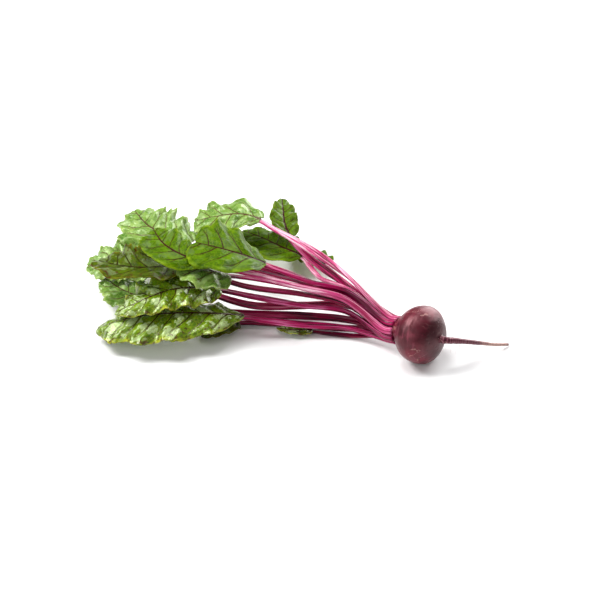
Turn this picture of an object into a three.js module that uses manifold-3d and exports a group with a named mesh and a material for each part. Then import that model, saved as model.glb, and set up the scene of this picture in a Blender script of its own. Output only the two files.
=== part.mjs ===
// A freshly pulled beetroot with its leaves, lying on its side on a flat surface.
//
// Frame: millimetres, +Z up. The origin is on the surface, at the small flat spot under the swollen
// root. +X runs along the beetroot towards the tip of its taproot, and the leaves lie towards -X.
//
// Pieces: one root (neck, swollen bulb and taproot in one), and for each leaf one stalk, which runs on
// under the blade as its midrib, and one blade with a waved edge.
import * as THREE from "three";
import { mergeVertices } from "three/addons/utils/BufferGeometryUtils.js";
import Module from "manifold-3d";

const wasm = await Module();
wasm.setup();

const { sin, cos, abs, sqrt, pow, log, max, min, round, PI } = Math;
const UP = new THREE.Vector3(0, 0, 1);

// Root: a slightly flattened globe on a tilted axis.
const BULB_RADIUS = 31.5;
const BULB_HALF_LENGTH = 25.5;
const BULB_HEIGHT = 30.75;
const ROOT_YAW = -14;
const ROOT_PITCH = 12;
const NECK_RADIUS = 14.5;
const NECK_REACH = 28;
const NECK_ROUNDING = 4;
const BULB_LOBES = 0.012;

// Taproot: the line it follows from the bulb's centre, with its radius at the bulb and at its tip.
const TAPROOT_LINE = [
  [28.5, -5.8, 35.8],
  [37, 2, 32.6],
  [48, 16, 25.5],
  [59, 31.5, 17],
  [69, 47, 8.8],
  [77, 61.5, 2.4],
];
const TAPROOT_START = 18;
const TAPROOT_START_RADIUS = 6;
const TAPROOT_TIP_RADIUS = 0.9;
const TAPROOT_THINNING = 0.42;
const BLEND = 2.5;

// Leaves. A stalk leaves the neck straight along the root's axis. It thins to TAPER_AT_BLADE of its
// size, and to TAPER_AT_END where the midrib ends under the blade. Between SWELL_START, outside the
// crowded neck, and the blade it is fuller, by MIDDLE_SWELL at the most.
const BLADE_THICKNESS = 0.8;
const JOINT_GAP = 0.45;
const STALK_HALF_WIDTH = 3.8;
const STALK_DEPTH = 4.4;
const STRAIGHT_FOOT = 11;
const TAPER_AT_BLADE = 0.82;
const TAPER_AT_END = 0.2;
const MIDDLE_SWELL = 0.3;
const SWELL_START = 40;
const MIDRIB_END = 0.86;
const MIDRIB_NARROWING = 0.7;
const NARROWING_LENGTH = 22;
const GROOVE_DEPTH = 0.22;

// Mesh fineness.
const ROOT_SIDES = 28;
const TAPROOT_RINGS = 12;
const BLADE_COLUMNS = 10;
const BLADE_ROW = 8;
const STALK_STEP = 18;

// Each leaf, from the lowest in the heap up:
//   seat: where its stalk stands on the neck, as the radius of its ring and the angle in degrees from
//     the near side (-Y) up towards the top; girth: how thick the stalk is
//   stalk, blade: the points that the stalk and the midrib run through
//   width: the blade's half width; heel: how blunt its base is; broadest: where it is widest, as a
//     share of its length
//   fold, curl: the angles in degrees at which the near and far halves leave the midrib and bend on
//     their way out; roll: the tilt of the blade at its base and tip, below zero with its near edge down
//   waves, ruffle, phase: how many waves its edge has, how high they are and where they start
const LEAVES = [
  {
    name: "front", seat: [9.8, -60], girth: 1.15,
    stalk: [[-87, 5, 15], [-132, -13, 18], [-165, -30, 23]],
    blade: [
      [-187, -42, 28], [-217, -62, 34], [-250, -82, 37],
      [-278, -97, 35], [-302, -107, 28], [-328, -110, 13],
    ],
    width: 37, heel: 0.006, broadest: 0.49,
    fold: [-3, 6], curl: [-40, -30], roll: [0, 0],
    waves: 5, ruffle: 4, phase: 0.1,
  },
  {
    name: "lowest", seat: [9.8, -145], girth: 1.0,
    stalk: [[-89, 12, 7], [-138, 0, 7], [-177, -14, 6]],
    blade: [[-203, -26, 6], [-212, -41, 8], [-220, -55, 6], [-226, -65, 3]],
    width: 16, heel: 0.01, broadest: 0.3,
    fold: [8, 8], curl: [-20, -20], roll: [0, 0],
    waves: 4, ruffle: 1.5, phase: 0.4,
  },
  {
    name: "pale", seat: [4.6, -132], girth: 1.1,
    stalk: [[-91, 14, 17], [-138, 0, 18], [-200, -22, 18]],
    blade: [[-271, -44, 19], [-302, -48, 20], [-335, -43, 20], [-368, -28, 18]],
    width: 29, heel: 0.01, broadest: 0.36,
    fold: [8, 8], curl: [-16, -16], roll: [4, -6],
    waves: 4, ruffle: 4, phase: 0.7,
  },
  {
    name: "crinkled", seat: [9.8, -20], girth: 1.15,
    stalk: [[-93, 18, 27], [-139, 4, 31], [-189, -17, 40]],
    blade: [
      [-220, -34, 49], [-243, -53, 54], [-260, -71, 57],
      [-275, -88, 54], [-290, -100, 47], [-307, -106, 36],
    ],
    width: 29, heel: 0.01, broadest: 0.34,
    fold: [4, 14], curl: [-30, -24], roll: [0, -4],
    waves: 6, ruffle: 4.5, phase: 0.2,
  },
  {
    name: "olive", seat: [4.6, -60], girth: 0.95,
    stalk: [[-92, 17, 36], [-142, 9, 41], [-200, -9, 45]],
    blade: [
      [-269, -18, 54], [-283, -39, 62], [-300, -58, 67],
      [-325, -63, 66], [-358, -53, 58],
    ],
    width: 36, heel: 0.01, broadest: 0.36,
    fold: [24, 22], curl: [-26, -22], roll: [0, 0],
    waves: 4, ruffle: 3.5, phase: 0.5,
  },
  {
    name: "middle", seat: [4.6, 12], girth: 0.9,
    stalk: [[-93, 19, 41], [-143, 10, 48], [-188, -7, 56]],
    blade: [[-213, -27, 65], [-228, -38, 71], [-243, -45, 75], [-260, -46, 76]],
    width: 29, heel: 0.02, broadest: 0.34,
    fold: [4, 8], curl: [-26, -20], roll: [0, 0],
    waves: 4, ruffle: 3, phase: 0.1,
  },
  {
    name: "pointed", seat: [9.8, 20], girth: 1.1,
    stalk: [[-91, 13, 44], [-139, 2, 55], [-194, -18, 69]],
    blade: [
      [-225, -34, 77], [-242, -43, 84], [-260, -47, 89],
      [-283, -39, 91], [-311, -12, 87],
    ],
    width: 24, heel: 0.01, broadest: 0.5,
    fold: [9, 10], curl: [-30, -18], roll: [-4, -10],
    waves: 3, ruffle: 4, phase: 0.9,
  },
  {
    name: "bright", seat: [9.8, 60], girth: 1.05,
    stalk: [[-94, 20, 49], [-130, 9, 60], [-157, 2, 68]],
    blade: [[-178, -6, 76], [-196, -18, 87], [-221, -26, 94], [-250, -28, 95]],
    width: 37, heel: 0.02, broadest: 0.54,
    fold: [12, 14], curl: [-20, -22], roll: [-6, -14],
    waves: 4, ruffle: 2.5, phase: 0.3,
  },
  {
    name: "upper", seat: [9.8, 95], girth: 1.0,
    stalk: [[-100, 33, 54], [-172, 75, 57], [-217, 90, 61]],
    blade: [[-234, 95, 63], [-259, 94, 64], [-283, 80, 62], [-305, 72, 55]],
    width: 30, heel: 0.03, broadest: 0.48,
    fold: [2, 10], curl: [-30, -18], roll: [0, 0],
    waves: 4, ruffle: 4, phase: 0.6,
  },
  {
    name: "small", seat: [9.8, 135], girth: 1,
    stalk: [[-99, 32, 45], [-158, 70, 44], [-188, 93, 43]],
    blade: [[-201, 104, 44], [-216, 122, 47], [-228, 143, 50], [-242, 169, 49]],
    width: 16, heel: 0.03, broadest: 0.36,
    fold: [12, 12], curl: [-10, -10], roll: [0, 8],
    waves: 4, ruffle: 2.5, phase: 0.2,
  },
  {
    name: "back", seat: [4.6, 156], girth: 1.0,
    stalk: [[-101, 36, 25], [-159, 45, 29], [-220, 44, 32], [-270, 44, 36]],
    blade: [[-298, 40, 41], [-326, 36, 51], [-350, 43, 53], [-385, 72, 49]],
    width: 38, heel: 0.03, broadest: 0.3,
    fold: [14, 14], curl: [-30, -30], roll: [-10, -10],
    waves: 5, ruffle: 4.5, phase: 0.8,
  },
  {
    name: "tucked", seat: [9.8, 172], girth: 0.9,
    stalk: [[-85, 40, 31], [-123, 73, 25]],
    blade: [[-158, 104, 18], [-183, 122, 12], [-201, 130, 6], [-209, 126, 2]],
    width: 17, heel: 0.01, broadest: 0.3,
    fold: [10, 10], curl: [-20, -20], roll: [0, 0],
    waves: 4, ruffle: 2.5, phase: 0.2,
  },
  {
    name: "outer", seat: [-2.2, 180], girth: 1.0,
    stalk: [[-96, 25, 25], [-144, 14, 19], [-196, -4, 17], [-257, -6, 24]],
    blade: [[-308, 8, 33], [-338, -1, 35], [-364, -13, 35], [-391, -25, 27]],
    width: 34, heel: 0.02, broadest: 0.4,
    fold: [4, 14], curl: [-24, -24], roll: [-4, -4],
    waves: 5, ruffle: 4, phase: 0.35,
  },
  {
    name: "inner", seat: [4.6, 84], girth: 0.9,
    stalk: [[-91, 28, 43], [-137, 51, 38], [-161, 72, 34]],
    blade: [[-179, 90, 31], [-209, 99, 30], [-240, 111, 28], [-269, 120, 25]],
    width: 26, heel: 0.015, broadest: 0.4,
    fold: [7, 6], curl: [-20, -20], roll: [-6, -6],
    waves: 4, ruffle: 2.5, phase: 0.65,
  },
  {
    name: "withered", seat: [9.8, -100], girth: 0.7,
    stalk: [[-78, 5, 6], [-107, -2, 5]],
    blade: [[-123, -6, 5], [-140, -15, 6], [-160, -17, 4]],
    width: 9, heel: 0.01, broadest: 0.3,
    fold: [10, 10], curl: [-20, -20], roll: [0, 0],
    waves: 4, ruffle: 1.2, phase: 0.65,
  },
];

const radians = (degrees) => (degrees * PI) / 180;
const mix = (a, b, share) => a + (b - a) * share;
const clamp01 = (x) => min(1, max(0, x));
const ease = (x) => clamp01(x) ** 2 * (3 - 2 * clamp01(x));
const point = ([x, y, z]) => new THREE.Vector3(x, y, z);

// The smooth larger one of a and b, rounded over the given width where they meet.
const smoothMax = (a, b, width) => (a + b + sqrt((a - b) ** 2 + width ** 2)) / 2;

// A smooth line through points, read by the distance along it.
class Line {
  constructor(points, samples = 400) {
    this.curve = new THREE.CatmullRomCurve3(points, false, "centripetal");
    this.points = this.curve.getPoints(samples);
    this.distance = [0];
    for (let i = 1; i <= samples; i++) {
      const step = this.points[i].distanceTo(this.points[i - 1]);
      this.distance.push(this.distance[i - 1] + step);
    }
    this.length = this.distance[samples];
    this.samples = samples;
    this.spans = points.length - 1;
  }

  distanceTo(pointIndex) {
    return this.distance[round((pointIndex / this.spans) * this.samples)];
  }

  at(distance) {
    const d = min(this.length, max(0, distance));
    let i = this.distance.findIndex((x) => x >= d);
    i = max(1, i);
    const share = (d - this.distance[i - 1]) / (this.distance[i] - this.distance[i - 1]);
    return this.points[i - 1].clone().lerp(this.points[i], share);
  }

  tangent(distance) {
    const reach = 1.5;
    return this.at(distance + reach).sub(this.at(distance - reach)).normalize();
  }
}

// A closed skin over rings of points, each ring with the same count, with a flat lid at both ends.
// Looking along the rings from the first one, each ring runs clockwise.
function skin(rings) {
  const sides = rings[0].length;
  const index = [];
  for (let r = 0; r + 1 < rings.length; r++) {
    for (let k = 0; k < sides; k++) {
      const a = r * sides + k;
      const b = r * sides + ((k + 1) % sides);
      index.push(a, a + sides, b, b, a + sides, b + sides);
    }
  }
  const last = (rings.length - 1) * sides;
  for (let k = 1; k + 1 < sides; k++) {
    index.push(0, k, k + 1);
    index.push(last, last + k + 1, last + k);
  }
  return closedGeometry(rings.flat(), index);
}

function closedGeometry(points, index) {
  const positions = points.flatMap((p) => [p.x, p.y, p.z]);
  return new THREE.BufferGeometry()
    .setAttribute("position", new THREE.Float32BufferAttribute(positions, 3))
    .setIndex(index);
}

function solidOf(geometry) {
  const merged = mergeVertices(geometry, 1e-4);
  return new wasm.Manifold(new wasm.Mesh({
    numProp: 3,
    vertProperties: merged.attributes.position.array,
    triVerts: new Uint32Array(merged.index.array),
  }));
}

function geometryOf(solid) {
  const mesh = solid.getMesh();
  return new THREE.BufferGeometry()
    .setAttribute("position", new THREE.Float32BufferAttribute(mesh.vertProperties, 3))
    .setIndex(new THREE.BufferAttribute(mesh.triVerts, 1));
}

function colour(hex, roughness) {
  return new THREE.MeshStandardMaterial({ color: hex, roughness, metalness: 0 });
}

// The root's axis, from the neck to the taproot, and the two directions across it.
const AXIS = new THREE.Vector3(
  cos(radians(ROOT_YAW)) * cos(radians(ROOT_PITCH)),
  sin(radians(ROOT_YAW)) * cos(radians(ROOT_PITCH)),
  sin(radians(ROOT_PITCH)),
);
const BULB_CENTRE = new THREE.Vector3(0, 0, BULB_HEIGHT);
const NEAR_SIDE = new THREE.Vector3().crossVectors(AXIS, UP).normalize();
const TOP_SIDE = new THREE.Vector3().crossVectors(NEAR_SIDE, AXIS);

function onAxis(reach) {
  return BULB_CENTRE.clone().addScaledVector(AXIS, reach);
}

// The root's radius at a reach along its line from the bulb's centre.
function rootRadius(reach, length) {
  const bulb = BULB_RADIUS * sqrt(max(0, 1 - (reach / BULB_HALF_LENGTH) ** 2));
  const rounding = ease((NECK_ROUNDING - NECK_REACH - reach) / NECK_ROUNDING);
  const neck = reach < 0 ? NECK_RADIUS * mix(1, 0.88, rounding) : 0;
  const thinning = pow(clamp01((reach - TAPROOT_START) / (length - TAPROOT_START)), TAPROOT_THINNING);
  const taproot = reach > 0 ? mix(TAPROOT_START_RADIUS, TAPROOT_TIP_RADIUS, thinning) : 0;
  return smoothMax(bulb, max(neck, taproot), BLEND) - 0.3;
}

function rootGeometry() {
  const line = new Line([onAxis(-NECK_REACH), onAxis(0), onAxis(20), ...TAPROOT_LINE.map(point)]);
  const tip = line.length - NECK_REACH;
  // Rings stand closer together where the outline turns quickly: at the neck and the taproot's base.
  const neckStops = [-28, -27, -25, -23.5, -22, -19.5];
  const bulbStops = [-16, -11, -5.5, 0, 5.5, 11, 16, 19.5, 22, 24, 25.5, 28];
  const taprootStops = Array.from({ length: TAPROOT_RINGS + 1 }, (_, i) => mix(31, tip, i / TAPROOT_RINGS));
  let across = NEAR_SIDE.clone();
  const rings = [...neckStops, ...bulbStops, ...taprootStops].map((reach) => {
    const centre = line.at(reach + NECK_REACH);
    const along = line.tangent(reach + NECK_REACH);
    across = across.addScaledVector(along, -across.dot(along)).normalize();
    const over = new THREE.Vector3().crossVectors(across, along);
    const radius = rootRadius(reach, tip);
    return Array.from({ length: ROOT_SIDES }, (_, k) => {
      const turn = (2 * PI * k) / ROOT_SIDES;
      const lobed = radius * (1 + BULB_LOBES * (sin(3 * turn + 0.8) + 0.7 * sin(5 * turn + 2)));
      return centre.clone()
        .addScaledVector(across, lobed * cos(turn))
        .addScaledVector(over, lobed * sin(turn));
    });
  });
  const floor = new THREE.BoxGeometry(300, 300, 20).translate(0, 0, -10);
  return geometryOf(solidOf(skin(rings)).subtract(solidOf(onlyPositions(floor))));
}

function onlyPositions(geometry) {
  geometry.deleteAttribute("normal");
  geometry.deleteAttribute("uv");
  return geometry;
}

// One leaf's shape: its line from the neck to the tip of the blade, and the turn of its upper face.
class Leaf {
  constructor(spec) {
    Object.assign(this, spec);
    const [ring, angle] = spec.seat;
    const seat = onAxis(-NECK_REACH - JOINT_GAP)
      .addScaledVector(NEAR_SIDE, ring * cos(radians(angle)))
      .addScaledVector(TOP_SIDE, ring * sin(radians(angle)));
    const foot = seat.clone().addScaledVector(AXIS, -STRAIGHT_FOOT);
    this.line = new Line([seat, foot, ...spec.stalk.map(point), ...spec.blade.map(point)]);
    this.base = this.line.distanceTo(2 + spec.stalk.length);
    this.bladeLength = this.line.length - this.base;
    // The grooved upper face of a stalk starts out facing the root's axis.
    const start = angle + 90;
    this.seatRoll = start > 180 ? start - 360 : start;
  }

  // Directions along the leaf, to its near side and out of its upper face.
  frame(distance) {
    const along = this.line.tangent(distance);
    const level = new THREE.Vector3().crossVectors(UP, along).normalize();
    const above = new THREE.Vector3().crossVectors(along, level);
    const share = (distance - this.base) / this.bladeLength;
    const roll = distance < this.base
      ? mix(this.seatRoll, this.roll[0], ease(distance / this.base))
      : mix(this.roll[0], this.roll[1], ease(share));
    const turn = radians(roll);
    const side = level.clone().multiplyScalar(cos(turn)).addScaledVector(above, sin(turn));
    const face = above.multiplyScalar(cos(turn)).addScaledVector(level, -sin(turn));
    return { along, side, face };
  }

  // Half width of the blade at a share of its length: broad near the base, drawn out to the tip.
  outline(share) {
    const skew = log(0.5) / log(this.broadest);
    const body = pow(sin(PI * pow(mix(this.heel, 0.985, share), skew)), 0.8);
    return this.width * body;
  }

  // A point of the blade's middle surface. across runs from -1 at the far edge to 1 at the near edge.
  surface(share, across) {
    const side = across < 0 ? -1 : 1;
    const out = abs(across);
    const half = side > 0 ? 0 : 1;
    const beat = this.waves * share + this.phase + 0.37 * half;
    const width = this.outline(share) * (1 + 0.05 * sin(2 * PI * (beat + 0.2)));
    const fold = radians(this.fold[half]);
    const curl = radians(this.curl[half]);
    const outwards = (width / curl) * (sin(fold + curl * out) - sin(fold));
    const upwards = (width / curl) * (cos(fold) - cos(fold + curl * out));
    const swept = width * out * mix(-0.3, 0.75, pow(share, 0.8));
    const calm = sin(PI * clamp01(0.08 + 0.9 * share));
    const wave = this.ruffle * pow(out, 1.7) * calm
      * (sin(2 * PI * beat) + 0.3 * sin(2 * PI * (2.3 * beat + 0.4)));
    const { along, side: across1, face } = this.frame(this.base + share * this.bladeLength);
    return this.line.at(this.base + share * this.bladeLength)
      .addScaledVector(across1, side * outwards)
      .addScaledVector(face, upwards + wave * cos(fold + curl * out))
      .addScaledVector(across1, -side * wave * sin(fold + curl * out))
      .addScaledVector(along, swept);
  }

  normal(share, across) {
    const reach = 0.01;
    const lengthwise = this.surface(min(1, share + reach), across)
      .sub(this.surface(max(0, share - reach), across));
    const crosswise = this.surface(share, min(1, across + reach))
      .sub(this.surface(share, max(-1, across - reach)));
    return lengthwise.cross(crosswise).normalize();
  }

  // The blade as a sheet of even thickness, with both faces split into triangles alike.
  bladeGeometry() {
    const rows = round(this.bladeLength / BLADE_ROW);
    const upper = [];
    const lower = [];
    for (let i = 0; i <= rows; i++) {
      for (let k = 0; k <= BLADE_COLUMNS; k++) {
        const share = i / rows;
        const across = (2 * k) / BLADE_COLUMNS - 1;
        const middle = this.surface(share, across);
        const lift = this.normal(share, across).multiplyScalar(BLADE_THICKNESS / 2);
        upper.push(middle.clone().add(lift));
        lower.push(middle.clone().sub(lift));
      }
    }
    const count = upper.length;
    const wide = BLADE_COLUMNS + 1;
    const index = [];
    for (let i = 0; i < rows; i++) {
      for (let k = 0; k < BLADE_COLUMNS; k++) {
        const a = i * wide + k;
        const b = a + 1;
        const c = a + wide;
        const d = c + 1;
        // The diagonal leans with the side veins, so it changes over at the midrib.
        const faces = k < BLADE_COLUMNS / 2 ? [[a, c, b], [b, c, d]] : [[a, c, d], [a, d, b]];
        for (const [p, q, r] of faces) {
          index.push(p, q, r, count + p, count + r, count + q);
        }
      }
    }
    const rim = [];
    for (let k = 0; k < BLADE_COLUMNS; k++) rim.push(k);
    for (let i = 0; i < rows; i++) rim.push(i * wide + BLADE_COLUMNS);
    for (let k = BLADE_COLUMNS; k > 0; k--) rim.push(rows * wide + k);
    for (let i = rows; i > 0; i--) rim.push(i * wide);
    rim.forEach((p, i) => {
      const q = rim[(i + 1) % rim.length];
      index.push(p, q, count + p, q, count + q, count + p);
    });
    return closedGeometry([...upper, ...lower], index);
  }

  // Half width and depth of the stalk, thinning all the way along the midrib.
  stalkSize(distance) {
    const end = this.base + MIDRIB_END * this.bladeLength;
    const taper = distance < this.base
      ? mix(1, TAPER_AT_BLADE, distance / this.base)
      : mix(TAPER_AT_BLADE, TAPER_AT_END, pow((distance - this.base) / (end - this.base), 0.8));
    const narrow = mix(1, MIDRIB_NARROWING, ease((distance - this.base) / NARROWING_LENGTH));
    const swellShare = clamp01((distance - SWELL_START) / (this.base - SWELL_START));
    const swell = 1 + MIDDLE_SWELL * pow(sin(PI * swellShare), 2);
    const size = this.girth * taper * swell;
    return { half: STALK_HALF_WIDTH * size * narrow, depth: STALK_DEPTH * size };
  }

  // The stalk, grooved along its upper face, and the midrib that it becomes under the blade.
  stalkGeometry() {
    const end = this.base + MIDRIB_END * this.bladeLength;
    const steps = round(end / STALK_STEP);
    const drop = BLADE_THICKNESS / 2 + JOINT_GAP;
    const rings = Array.from({ length: steps + 1 }, (_, i) => {
      const distance = (end * i) / steps;
      const { half, depth } = this.stalkSize(distance);
      const { side, face } = this.frame(distance);
      const centre = this.line.at(distance);
      const groove = distance < this.base ? GROOVE_DEPTH : 0;
      return [
        [0, -groove], [0.66, 0], [1, -0.4], [0.56, -0.95], [-0.56, -0.95], [-1, -0.4], [-0.66, 0],
      ].map(([across, up]) => centre.clone()
        .addScaledVector(side, across * half)
        .addScaledVector(face, up * depth - drop));
    });
    return skin(rings);
  }
}

const beetroot = new THREE.Group();

function addPiece(name, geometry, material) {
  const mesh = new THREE.Mesh(geometry, material);
  mesh.name = name;
  beetroot.add(mesh);
}

const rootSkin = colour(0x5b2233, 0.5);
const stalkFlesh = colour(0xb02463, 0.35);
const leafGreen = colour(0x5c8a2a, 0.4);

addPiece("root", rootGeometry(), rootSkin);
for (const spec of LEAVES) {
  const leaf = new Leaf(spec);
  addPiece(`${leaf.name}_stalk`, leaf.stalkGeometry(), stalkFlesh);
  addPiece(`${leaf.name}_blade`, leaf.bladeGeometry(), leafGreen);
}

export default beetroot;
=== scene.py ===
# %% [markdown]
# # A beetroot with its leaves, in Blender
#
# A freshly pulled beetroot lies on its side: a round, dark red root with a long taproot, a fan of
# ribbed red stalks, and a heap of glossy, crinkled leaves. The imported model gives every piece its
# place. Here each piece gets its fine shape and its finish.
#
# Lengths are written in millimetres, as one would measure the plant, and turned to metres only when
# a point is handed to Blender.

import bisect
from math import cos, log, pi, radians, sin, sqrt

import bmesh
import bpy
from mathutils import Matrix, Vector, noise


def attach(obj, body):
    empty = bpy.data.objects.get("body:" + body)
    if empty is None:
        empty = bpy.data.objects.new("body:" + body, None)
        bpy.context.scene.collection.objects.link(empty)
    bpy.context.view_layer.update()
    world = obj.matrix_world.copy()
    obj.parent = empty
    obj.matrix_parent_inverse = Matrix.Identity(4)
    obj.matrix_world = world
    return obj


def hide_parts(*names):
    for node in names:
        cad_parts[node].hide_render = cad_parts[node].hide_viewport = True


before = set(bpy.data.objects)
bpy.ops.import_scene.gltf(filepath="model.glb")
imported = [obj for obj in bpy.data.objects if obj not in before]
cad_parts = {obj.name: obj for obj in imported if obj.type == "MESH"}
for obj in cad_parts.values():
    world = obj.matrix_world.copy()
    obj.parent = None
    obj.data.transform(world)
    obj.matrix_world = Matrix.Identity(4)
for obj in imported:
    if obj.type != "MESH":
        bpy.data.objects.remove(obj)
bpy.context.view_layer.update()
MM = 0.001
print("nodes in the frame:", len(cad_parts))

# %% [markdown]
# ## Camera
#
# The photograph looks down on the beetroot from the front and a little from its left, through a
# long lens. The camera is placed by where the middle of the swollen root lies in the picture, and
# by how many millimetres one pixel covers there.

# %% Place the camera
AZIMUTH, ELEVATION = 25.0, 33.0
LENS, SENSOR = 100.0, 36.0
IMAGE_SIDE = 593
ROOT_PIXEL = (421.0, 335.3)
MM_PER_PIXEL = 1.05
ROOT_MIDDLE = Vector((0, 0, 30))


def view_directions():
    """Right, up and forward, as the photographer saw them."""
    a, e = radians(AZIMUTH), radians(ELEVATION)
    right = Vector((cos(a), sin(a), 0))
    forward = Vector((-sin(a) * cos(e), cos(a) * cos(e), -sin(e)))
    return right, right.cross(forward), forward


def add_camera():
    right, up, forward = view_directions()
    distance = MM_PER_PIXEL * IMAGE_SIDE * LENS / SENSOR
    beside = (ROOT_PIXEL[0] - IMAGE_SIDE / 2) * MM_PER_PIXEL
    below = (ROOT_PIXEL[1] - IMAGE_SIDE / 2) * MM_PER_PIXEL
    eye = ROOT_MIDDLE - right * beside + up * below - forward * distance
    data = bpy.data.cameras.new("camera")
    data.lens, data.sensor_width = LENS, SENSOR
    camera = bpy.data.objects.new("camera", data)
    bpy.context.collection.objects.link(camera)
    camera.location = eye * MM
    camera.rotation_euler = forward.to_track_quat("-Z", "Y").to_euler()
    bpy.context.scene.camera = camera
    return distance


print("camera at", round(add_camera()), "mm")

# %% [markdown]
# ## Colours and nodes
#
# Colours are picked as the hex values of an image editor. Blender mixes light in linear values, so
# one function turns a hex string into those. One more function adds a shader node with its settings
# and links, and every finish below is built from it.

# %% Colour and node helpers
def linear(hex_colour):
    parts = [int(hex_colour[i:i + 2], 16) / 255 for i in (1, 3, 5)]
    return [c / 12.92 if c <= 0.04045 else ((c + 0.055) / 1.055) ** 2.4 for c in parts] + [1.0]


def add(tree, kind, settings=None, **links):
    """Adds one node. Names in links are its sockets, with _ for a space: a number, a colour or a
    socket of another node. A name such as in_1 is a socket's place."""
    node = tree.nodes.new("ShaderNode" + kind)
    for name, value in (settings or {}).items():
        setattr(node, name, value)
    for name, value in links.items():
        socket = node.inputs[int(name[3:]) if name.startswith("in_") else name.replace("_", " ")]
        if isinstance(value, bpy.types.NodeSocket):
            tree.links.new(value, socket)
        elif isinstance(value, str):
            socket.default_value = linear(value)
        else:
            socket.default_value = value
    return node


print("wine red as linear light:", [round(c, 3) for c in linear("#6e0a26")[:3]])

# %% [markdown]
# ## Patterns from arithmetic
#
# A pattern is a number at each point of a surface: a noise, a distance, a wave. A soft step turns
# it into a mask, arithmetic joins masks, and a mask blends one colour into the next. With these
# small functions a finish reads almost like a recipe.

# %% Pattern helpers
def new_finish(name):
    """A material with its shader, and the tree to build its pattern in."""
    material = bpy.data.materials.new(name)
    material.use_nodes = True
    return material, material.node_tree, material.node_tree.nodes["Principled BSDF"]


def band(tree, value, low, high, top=1.0):
    """0 below low, top above high, and a soft step between them."""
    soft = {"interpolation_type": "SMOOTHSTEP"}
    step = add(tree, "MapRange", soft, Value=value, From_Min=low, From_Max=high, To_Max=top)
    return step.outputs["Result"]


def maths(tree, operation, a, b=0.0):
    return add(tree, "Math", {"operation": operation}, in_0=a, in_1=b).outputs[0]


def times(tree, a, b):
    return maths(tree, "MULTIPLY", a, b)


def blend(tree, share, a, b):
    """Colour a where the share is 0, colour b where it is 1."""
    return add(tree, "Mix", {"data_type": "RGBA"}, in_0=share, in_6=a, in_7=b).outputs[2]


def dress(tree, shader, base, height, strength, depth_mm):
    """Links a colour and a relief to the shader."""
    tree.links.new(base, shader.inputs["Base Color"])
    bump = add(tree, "Bump", Height=height, Strength=strength, Distance=depth_mm * MM)
    tree.links.new(bump.outputs["Normal"], shader.inputs["Normal"])


print("pattern helpers: band, maths, times, blend, dress")

# %% [markdown]
# ## Floor and light
#
# The beetroot lies on a white studio table. The main light falls from the left, which puts the
# highlight on the left of the root. A lamp at the back and one above are mirrored in the waxy
# leaves, and a weak one in front opens the shadows between them. All four are soft, and the world
# is an even white, so that nothing dark is mirrored.

# %% Build the studio
LIT_SPOT = Vector((-0.15, 0, 0.03))


def add_floor():
    bm = bmesh.new()
    bmesh.ops.create_grid(bm, x_segments=1, y_segments=1, size=3)
    mesh = bpy.data.meshes.new("studio_table")
    bm.to_mesh(mesh)
    bm.free()
    floor = bpy.data.objects.new("studio_table", mesh)
    bpy.context.collection.objects.link(floor)
    # Matt white card: an even pale ground that shows only the shadows.
    card, _, shader = new_finish("white_studio_card")
    shader.inputs["Base Color"].default_value = linear("#f6f6f6")
    shader.inputs["Roughness"].default_value = 0.9
    shader.inputs["Specular IOR Level"].default_value = 0.1
    mesh.materials.append(card)


def add_lamp(name, place, watts, size):
    """A square soft white lamp at a place in metres, turned to the middle of the beetroot."""
    data = bpy.data.lights.new(name, "AREA")
    data.energy, data.size = watts, size
    lamp = bpy.data.objects.new(name, data)
    bpy.context.collection.objects.link(lamp)
    lamp.location = place
    lamp.rotation_euler = (LIT_SPOT - Vector(place)).to_track_quat("-Z", "Y").to_euler()


def light_world(strength):
    world = bpy.data.worlds.new("studio")
    world.use_nodes = True
    background = world.node_tree.nodes["Background"]
    background.inputs["Color"].default_value = linear("#ffffff")
    background.inputs["Strength"].default_value = strength
    bpy.context.scene.world = world


add_floor()
add_lamp("window_left", (-1.2, -0.25, 1.3), 25, 0.7)
add_lamp("back_lamp", (0.1, 1.4, 0.7), 30, 1.2)
add_lamp("top_lamp", (-0.45, 0.1, 1.65), 14, 0.7)
add_lamp("front_fill", (-0.5, -1.5, 0.9), 9, 1.0)
light_world(0.24)
bpy.context.scene.view_settings.view_transform = "Standard"
print("studio ready")

# %% [markdown]
# ## Lines that a plant follows
#
# Root, stalks and midribs each follow a smooth line through a few measured points. The line is a
# centripetal Catmull-Rom curve, which passes through its points without loops where they are
# unevenly spaced, and it is read by the distance along it.

# %% A smooth line
UP = Vector((0, 0, 1))


def mix(a, b, share):
    return a + (b - a) * share


def clamp01(x):
    return min(1.0, max(0.0, x))


def ease(x):
    x = clamp01(x)
    return x * x * (3 - 2 * x)


def between(p0, p1, p2, p3, t):
    """The centripetal curve from p1 to p2."""
    d0, d1, d2 = (sqrt((b - a).length) for a, b in ((p0, p1), (p1, p2), (p2, p3)))
    t1 = ((p1 - p0) / d0 - (p2 - p0) / (d0 + d1) + (p2 - p1) / d1) * d1
    t2 = ((p2 - p1) / d1 - (p3 - p1) / (d1 + d2) + (p3 - p2) / d2) * d1
    square = 3 * (p2 - p1) - 2 * t1 - t2
    cube = 2 * (p1 - p2) + t1 + t2
    return p1 + t1 * t + square * t * t + cube * t ** 3


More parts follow.
